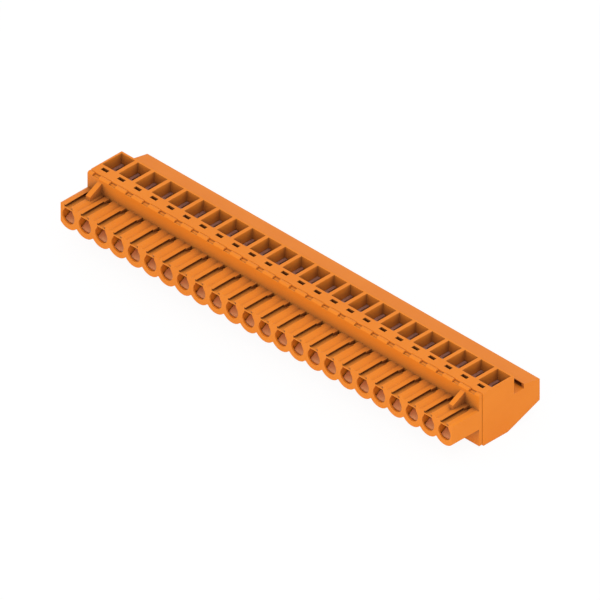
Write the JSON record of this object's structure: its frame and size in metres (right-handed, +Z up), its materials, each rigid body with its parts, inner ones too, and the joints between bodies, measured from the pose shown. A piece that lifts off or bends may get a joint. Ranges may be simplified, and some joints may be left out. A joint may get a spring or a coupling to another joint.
{
  "type": "pluggable terminal block",
  "caption": "Long pluggable screw-clamp terminal block with top wire entries, round header sockets in front and a sloped screwdriver side.",
  "frame": {"origin": "centre of the bounding box at the level of the underside", "axes": "+X along the row of poles, -Y is the plug side with the sockets, +Z up out of the wire entries"},
  "size_m": [0.122, 0.0272, 0.014],
  "materials": {
    "housing_orange": "satin moulded polyamide",
    "socket_orange": "satin moulded polyamide",
    "contact_metal": "tinned copper alloy",
    "yoke_steel": "zinc-plated steel",
    "screw_steel": "zinc-plated steel"
  },
  "bodies": {
    "root": {"clamp_housing": "housing_orange", "socket_front": "socket_orange", "socket_contacts": "contact_metal"},
    "screw_01": {"clamping_screw_01": "screw_steel"},
    "yoke_01": {"clamping_yoke_01": "yoke_steel"},
    "screw_02": {"clamping_screw_02": "screw_steel"},
    "yoke_02": {"clamping_yoke_02": "yoke_steel"},
    "screw_03": {"clamping_screw_03": "screw_steel"},
    "yoke_03": {"clamping_yoke_03": "yoke_steel"},
    "screw_04": {"clamping_screw_04": "screw_steel"},
    "yoke_04": {"clamping_yoke_04": "yoke_steel"},
    "screw_05": {"clamping_screw_05": "screw_steel"},
    "yoke_05": {"clamping_yoke_05": "yoke_steel"},
    "screw_06": {"clamping_screw_06": "screw_steel"},
    "yoke_06": {"clamping_yoke_06": "yoke_steel"},
    "screw_07": {"clamping_screw_07": "screw_steel"},
    "yoke_07": {"clamping_yoke_07": "yoke_steel"},
    "screw_08": {"clamping_screw_08": "screw_steel"},
    "yoke_08": {"clamping_yoke_08": "yoke_steel"},
    "screw_09": {"clamping_screw_09": "screw_steel"},
    "yoke_09": {"clamping_yoke_09": "yoke_steel"},
    "screw_10": {"clamping_screw_10": "screw_steel"},
    "yoke_10": {"clamping_yoke_10": "yoke_steel"},
    "screw_11": {"clamping_screw_11": "screw_steel"},
    "yoke_11": {"clamping_yoke_11": "yoke_steel"},
    "screw_12": {"clamping_screw_12": "screw_steel"},
    "yoke_12": {"clamping_yoke_12": "yoke_steel"},
    "screw_13": {"clamping_screw_13": "screw_steel"},
    "yoke_13": {"clamping_yoke_13": "yoke_steel"},
    "screw_14": {"clamping_screw_14": "screw_steel"},
    "yoke_14": {"clamping_yoke_14": "yoke_steel"},
    "screw_15": {"clamping_screw_15": "screw_steel"},
    "yoke_15": {"clamping_yoke_15": "yoke_steel"},
    "screw_16": {"clamping_screw_16": "screw_steel"},
    "yoke_16": {"clamping_yoke_16": "yoke_steel"},
    "screw_17": {"clamping_screw_17": "screw_steel"},
    "yoke_17": {"clamping_yoke_17": "yoke_steel"},
    "screw_18": {"clamping_screw_18": "screw_steel"},
    "yoke_18": {"clamping_yoke_18": "yoke_steel"},
    "screw_19": {"clamping_screw_19": "screw_steel"},
    "yoke_19": {"clamping_yoke_19": "yoke_steel"},
    "screw_20": {"clamping_screw_20": "screw_steel"},
    "yoke_20": {"clamping_yoke_20": "yoke_steel"},
    "screw_21": {"clamping_screw_21": "screw_steel"},
    "yoke_21": {"clamping_yoke_21": "yoke_steel"},
    "screw_22": {"clamping_screw_22": "screw_steel"},
    "yoke_22": {"clamping_yoke_22": "yoke_steel"},
    "screw_23": {"clamping_screw_23": "screw_steel"},
    "yoke_23": {"clamping_yoke_23": "yoke_steel"},
    "screw_24": {"clamping_screw_24": "screw_steel"},
    "yoke_24": {"clamping_yoke_24": "yoke_steel"}
  },
  "joints": [
    {"name": "screw_turn_01", "type": "hinge", "parent": "root", "child": "screw_01", "pos_m": [-0.05842, 0.0088, 0.00645], "axis": [0, 1, 0], "range_deg": [0, 1720.2]},
    {"name": "yoke_travel_01", "type": "slide", "parent": "root", "child": "yoke_01", "axis": [0, -1, 0], "range_m": [0, 0.00215]},
    {"name": "screw_turn_02", "type": "hinge", "parent": "root", "child": "screw_02", "pos_m": [-0.05334, 0.0088, 0.00645], "axis": [0, 1, 0], "range_deg": [0, 1720.2]},
    {"name": "yoke_travel_02", "type": "slide", "parent": "root", "child": "yoke_02", "axis": [0, -1, 0], "range_m": [0, 0.00215]},
    {"name": "screw_turn_03", "type": "hinge", "parent": "root", "child": "screw_03", "pos_m": [-0.04826, 0.0088, 0.00645], "axis": [0, 1, 0], "range_deg": [0, 1720.2]},
    {"name": "yoke_travel_03", "type": "slide", "parent": "root", "child": "yoke_03", "axis": [0, -1, 0], "range_m": [0, 0.00215]},
    {"name": "screw_turn_04", "type": "hinge", "parent": "root", "child": "screw_04", "pos_m": [-0.04318, 0.0088, 0.00645], "axis": [0, 1, 0], "range_deg": [0, 1720.2]},
    {"name": "yoke_travel_04", "type": "slide", "parent": "root", "child": "yoke_04", "axis": [0, -1, 0], "range_m": [0, 0.00215]},
    {"name": "screw_turn_05", "type": "hinge", "parent": "root", "child": "screw_05", "pos_m": [-0.0381, 0.0088, 0.00645], "axis": [0, 1, 0], "range_deg": [0, 1720.2]},
    {"name": "yoke_travel_05", "type": "slide", "parent": "root", "child": "yoke_05", "axis": [0, -1, 0], "range_m": [0, 0.00215]},
    {"name": "screw_turn_06", "type": "hinge", "parent": "root", "child": "screw_06", "pos_m": [-0.03302, 0.0088, 0.00645], "axis": [0, 1, 0], "range_deg": [0, 1720.2]},
    {"name": "yoke_travel_06", "type": "slide", "parent": "root", "child": "yoke_06", "axis": [0, -1, 0], "range_m": [0, 0.00215]},
    {"name": "screw_turn_07", "type": "hinge", "parent": "root", "child": "screw_07", "pos_m": [-0.02794, 0.0088, 0.00645], "axis": [0, 1, 0], "range_deg": [0, 1720.2]},
    {"name": "yoke_travel_07", "type": "slide", "parent": "root", "child": "yoke_07", "axis": [0, -1, 0], "range_m": [0, 0.00215]},
    {"name": "screw_turn_08", "type": "hinge", "parent": "root", "child": "screw_08", "pos_m": [-0.02286, 0.0088, 0.00645], "axis": [0, 1, 0], "range_deg": [0, 1720.2]},
    {"name": "yoke_travel_08", "type": "slide", "parent": "root", "child": "yoke_08", "axis": [0, -1, 0], "range_m": [0, 0.00215]},
    {"name": "screw_turn_09", "type": "hinge", "parent": "root", "child": "screw_09", "pos_m": [-0.01778, 0.0088, 0.00645], "axis": [0, 1, 0], "range_deg": [0, 1720.2]},
    {"name": "yoke_travel_09", "type": "slide", "parent": "root", "child": "yoke_09", "axis": [0, -1, 0], "range_m": [0, 0.00215]},
    {"name": "screw_turn_10", "type": "hinge", "parent": "root", "child": "screw_10", "pos_m": [-0.0127, 0.0088, 0.00645], "axis": [0, 1, 0], "range_deg": [0, 1720.2]},
    {"name": "yoke_travel_10", "type": "slide", "parent": "root", "child": "yoke_10", "axis": [0, -1, 0], "range_m": [0, 0.00215]},
    {"name": "screw_turn_11", "type": "hinge", "parent": "root", "child": "screw_11", "pos_m": [-0.00762, 0.0088, 0.00645], "axis": [0, 1, 0], "range_deg": [0, 1720.2]},
    {"name": "yoke_travel_11", "type": "slide", "parent": "root", "child": "yoke_11", "axis": [0, -1, 0], "range_m": [0, 0.00215]},
    {"name": "screw_turn_12", "type": "hinge", "parent": "root", "child": "screw_12", "pos_m": [-0.00254, 0.0088, 0.00645], "axis": [0, 1, 0], "range_deg": [0, 1720.2]},
    {"name": "yoke_travel_12", "type": "slide", "parent": "root", "child": "yoke_12", "axis": [0, -1, 0], "range_m": [0, 0.00215]},
    {"name": "screw_turn_13", "type": "hinge", "parent": "root", "child": "screw_13", "pos_m": [0.00254, 0.0088, 0.00645], "axis": [0, 1, 0], "range_deg": [0, 1720.2]},
    {"name": "yoke_travel_13", "type": "slide", "parent": "root", "child": "yoke_13", "axis": [0, -1, 0], "range_m": [0, 0.00215]},
    {"name": "screw_turn_14", "type": "hinge", "parent": "root", "child": "screw_14", "pos_m": [0.00762, 0.0088, 0.00645], "axis": [0, 1, 0], "range_deg": [0, 1720.2]},
    {"name": "yoke_travel_14", "type": "slide", "parent": "root", "child": "yoke_14", "axis": [0, -1, 0], "range_m": [0, 0.00215]},
    {"name": "screw_turn_15", "type": "hinge", "parent": "root", "child": "screw_15", "pos_m": [0.0127, 0.0088, 0.00645], "axis": [0, 1, 0], "range_deg": [0, 1720.2]},
    {"name": "yoke_travel_15", "type": "slide", "parent": "root", "child": "yoke_15", "axis": [0, -1, 0], "range_m": [0, 0.00215]},
    {"name": "screw_turn_16", "type": "hinge", "parent": "root", "child": "screw_16", "pos_m": [0.01778, 0.0088, 0.00645], "axis": [0, 1, 0], "range_deg": [0, 1720.2]},
    {"name": "yoke_travel_16", "type": "slide", "parent": "root", "child": "yoke_16", "axis": [0, -1, 0], "range_m": [0, 0.00215]},
    {"name": "screw_turn_17", "type": "hinge", "parent": "root", "child": "screw_17", "pos_m": [0.02286, 0.0088, 0.00645], "axis": [0, 1, 0], "range_deg": [0, 1720.2]},
    {"name": "yoke_travel_17", "type": "slide", "parent": "root", "child": "yoke_17", "axis": [0, -1, 0], "range_m": [0, 0.00215]},
    {"name": "screw_turn_18", "type": "hinge", "parent": "root", "child": "screw_18", "pos_m": [0.02794, 0.0088, 0.00645], "axis": [0, 1, 0], "range_deg": [0, 1720.2]},
    {"name": "yoke_travel_18", "type": "slide", "parent": "root", "child": "yoke_18", "axis": [0, -1, 0], "range_m": [0, 0.00215]},
    {"name": "screw_turn_19", "type": "hinge", "parent": "root", "child": "screw_19", "pos_m": [0.03302, 0.0088, 0.00645], "axis": [0, 1, 0], "range_deg": [0, 1720.2]},
    {"name": "yoke_travel_19", "type": "slide", "parent": "root", "child": "yoke_19", "axis": [0, -1, 0], "range_m": [0, 0.00215]},
    {"name": "screw_turn_20", "type": "hinge", "parent": "root", "child": "screw_20", "pos_m": [0.0381, 0.0088, 0.00645], "axis": [0, 1, 0], "range_deg": [0, 1720.2]},
    {"name": "yoke_travel_20", "type": "slide", "parent": "root", "child": "yoke_20", "axis": [0, -1, 0], "range_m": [0, 0.00215]},
    {"name": "screw_turn_21", "type": "hinge", "parent": "root", "child": "screw_21", "pos_m": [0.04318, 0.0088, 0.00645], "axis": [0, 1, 0], "range_deg": [0, 1720.2]},
    {"name": "yoke_travel_21", "type": "slide", "parent": "root", "child": "yoke_21", "axis": [0, -1, 0], "range_m": [0, 0.00215]},
    {"name": "screw_turn_22", "type": "hinge", "parent": "root", "child": "screw_22", "pos_m": [0.04826, 0.0088, 0.00645], "axis": [0, 1, 0], "range_deg": [0, 1720.2]},
    {"name": "yoke_travel_22", "type": "slide", "parent": "root", "child": "yoke_22", "axis": [0, -1, 0], "range_m": [0, 0.00215]},
    {"name": "screw_turn_23", "type": "hinge", "parent": "root", "child": "screw_23", "pos_m": [0.05334, 0.0088, 0.00645], "axis": [0, 1, 0], "range_deg": [0, 1720.2]},
    {"name": "yoke_travel_23", "type": "slide", "parent": "root", "child": "yoke_23", "axis": [0, -1, 0], "range_m": [0, 0.00215]},
    {"name": "screw_turn_24", "type": "hinge", "parent": "root", "child": "screw_24", "pos_m": [0.05842, 0.0088, 0.00645], "axis": [0, 1, 0], "range_deg": [0, 1720.2]},
    {"name": "yoke_travel_24", "type": "slide", "parent": "root", "child": "yoke_24", "axis": [0, -1, 0], "range_m": [0, 0.00215]}
  ],
  "couplings": [
    {"joint": "screw_turn_01", "follows": "yoke_travel_01", "rad_per_m": 13963},
    {"joint": "screw_turn_02", "follows": "yoke_travel_02", "rad_per_m": 13963},
    {"joint": "screw_turn_03", "follows": "yoke_travel_03", "rad_per_m": 13963},
    {"joint": "screw_turn_04", "follows": "yoke_travel_04", "rad_per_m": 13963},
    {"joint": "screw_turn_05", "follows": "yoke_travel_05", "rad_per_m": 13963},
    {"joint": "screw_turn_06", "follows": "yoke_travel_06", "rad_per_m": 13963},
    {"joint": "screw_turn_07", "follows": "yoke_travel_07", "rad_per_m": 13963},
    {"joint": "screw_turn_08", "follows": "yoke_travel_08", "rad_per_m": 13963},
    {"joint": "screw_turn_09", "follows": "yoke_travel_09", "rad_per_m": 13963},
    {"joint": "screw_turn_10", "follows": "yoke_travel_10", "rad_per_m": 13963},
    {"joint": "screw_turn_11", "follows": "yoke_travel_11", "rad_per_m": 13963},
    {"joint": "screw_turn_12", "follows": "yoke_travel_12", "rad_per_m": 13963},
    {"joint": "screw_turn_13", "follows": "yoke_travel_13", "rad_per_m": 13963},
    {"joint": "screw_turn_14", "follows": "yoke_travel_14", "rad_per_m": 13963},
    {"joint": "screw_turn_15", "follows": "yoke_travel_15", "rad_per_m": 13963},
    {"joint": "screw_turn_16", "follows": "yoke_travel_16", "rad_per_m": 13963},
    {"joint": "screw_turn_17", "follows": "yoke_travel_17", "rad_per_m": 13963},
    {"joint": "screw_turn_18", "follows": "yoke_travel_18", "rad_per_m": 13963},
    {"joint": "screw_turn_19", "follows": "yoke_travel_19", "rad_per_m": 13963},
    {"joint": "screw_turn_20", "follows": "yoke_travel_20", "rad_per_m": 13963},
    {"joint": "screw_turn_21", "follows": "yoke_travel_21", "rad_per_m": 13963},
    {"joint": "screw_turn_22", "follows": "yoke_travel_22", "rad_per_m": 13963},
    {"joint": "screw_turn_23", "follows": "yoke_travel_23", "rad_per_m": 13963},
    {"joint": "screw_turn_24", "follows": "yoke_travel_24", "rad_per_m": 13963}
  ]
}
